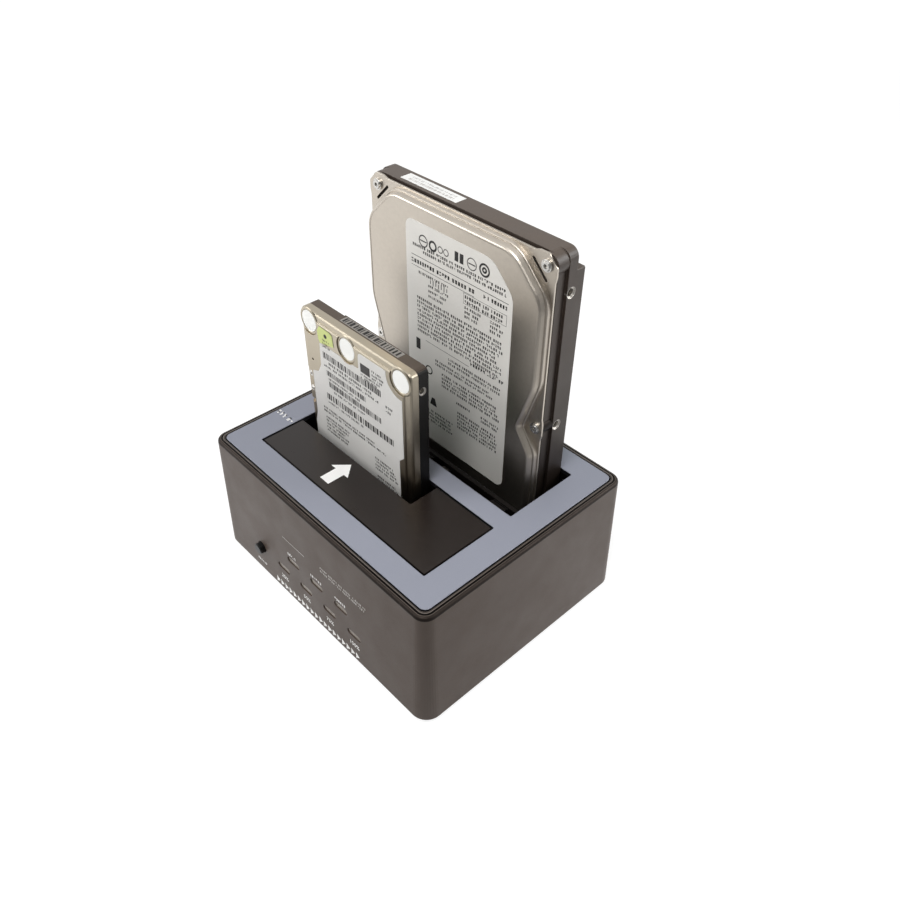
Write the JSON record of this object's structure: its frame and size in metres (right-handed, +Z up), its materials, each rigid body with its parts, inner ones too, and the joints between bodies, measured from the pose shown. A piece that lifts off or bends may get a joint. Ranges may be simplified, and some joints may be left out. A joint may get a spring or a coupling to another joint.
{
  "type": "drive duplicator",
  "caption": "Desktop dock and duplicator with top-loading bays under sprung flaps, a front row of light bars and a start button, shown holding a 3.5 inch and a 2.5 inch disk drive.",
  "frame": {"origin": "centre of the foot outline on the bench, in the middle of the box between the start button and the rocker switch", "axes": "+X to the right along the front, +Y from the front to the back, +Z up out of the bays"},
  "size_m": [0.145, 0.121, 0.1686],
  "materials": {
    "housing": "satin moulded plastic",
    "panel": "fine matt moulded plastic",
    "bead": "satin moulded plastic",
    "bay": "matt moulded plastic",
    "flap": "satin moulded plastic",
    "pin_steel": "ground rod",
    "spring_steel": "drawn wire",
    "screw_steel": "plated",
    "circuit_board": "solder mask",
    "chip": "moulded resin",
    "can": "drawn can",
    "socket": "moulded connector",
    "led": "clear lens",
    "lens": "smoked light bar",
    "button": "moulded cap",
    "port_metal": "plated sheet",
    "foot": "soft foot",
    "casting": "dark coated casting",
    "large_cover_metal": "brushed pressed sheet",
    "small_cover_metal": "satin pressed sheet",
    "label": "printed label",
    "motor": "turned hub",
    "seal": "round seal"
  },
  "bodies": {
    "base": {"outer_shell": "housing", "trim_ring": "bead", "top_panel": "panel", "base_plate": "housing", "bay_frame": "bay", "front_flap_pin": "pin_steel", "rear_flap_pin": "pin_steel", "front_flap_spring": "spring_steel", "rear_flap_spring": "spring_steel", "main_board": "circuit_board", "bridge_chip": "chip", "capacitors": "can", "front_socket": "socket", "rear_socket": "socket", "indicator_board": "circuit_board", "indicator_leds": "led", "status_lens_1": "lens", "status_lens_2": "lens", "status_lens_3": "lens", "progress_lens_25": "lens", "progress_lens_50": "lens", "progress_lens_75": "lens", "progress_lens_100": "lens", "button_switch": "socket", "rocker_housing": "socket", "power_jack": "socket", "usb_port": "port_metal", "usb_tongue": "socket", "foot_front_left": "foot", "foot_front_right": "foot", "foot_rear_left": "foot", "foot_rear_right": "foot", "base_screws": "screw_steel", "frame_screws": "screw_steel", "board_screws": "screw_steel"},
    "front_flap": {"front_flap": "flap"},
    "rear_flap": {"rear_flap": "flap"},
    "start_button": {"start_button": "button", "switch_plunger": "pin_steel"},
    "power_rocker": {"power_rocker": "button"},
    "large_drive": {"large_casting": "casting", "large_cover": "large_cover_metal", "large_label": "label", "large_end_label": "label", "large_board": "circuit_board", "large_motor": "motor", "large_plug": "socket", "large_cover_screws": "screw_steel", "large_board_screws": "screw_steel"},
    "small_drive": {"small_casting": "casting", "small_cover": "small_cover_metal", "small_label": "label", "small_end_label": "label", "small_board": "circuit_board", "small_plug": "socket", "small_seals": "seal", "small_cover_screws": "screw_steel"}
  },
  "joints": [
    {"name": "front_flap_hinge", "type": "hinge", "parent": "base", "child": "front_flap", "pos_m": [0, -0.0392, 0.0589], "axis": [1, 0, 0], "range_deg": [-88, 0], "stiffness_Nm_per_rad": 0.004, "springref_deg": 34.38, "deforming": ["front_flap_spring"]},
    {"name": "rear_flap_hinge", "type": "hinge", "parent": "base", "child": "rear_flap", "pos_m": [0, 0.0072, 0.0589], "axis": [1, 0, 0], "range_deg": [0, 88], "deforming": ["rear_flap_spring"]},
    {"name": "start_button_press", "type": "slide", "parent": "base", "child": "start_button", "axis": [0, 1, 0], "range_m": [0, 0.0008], "stiffness_N_per_m": 300, "springref_m": -0.001},
    {"name": "power_rocker_pivot", "type": "hinge", "parent": "base", "child": "power_rocker", "pos_m": [0.042, 0.05717, 0.03099], "axis": [1, 0, 0], "range_deg": [-16, 0]},
    {"name": "large_drive_slide", "type": "slide", "parent": "base", "child": "large_drive", "axis": [0, 0, 1], "range_m": [0, 0.16]},
    {"name": "small_drive_slide", "type": "slide", "parent": "base", "child": "small_drive", "axis": [0, 0, 1], "range_m": [0, 0.13]}
  ],
  "couplings": [
    {"joint": "rear_flap_hinge", "follows": "large_drive_slide", "rad_per_m": 9.5984}
  ]
}
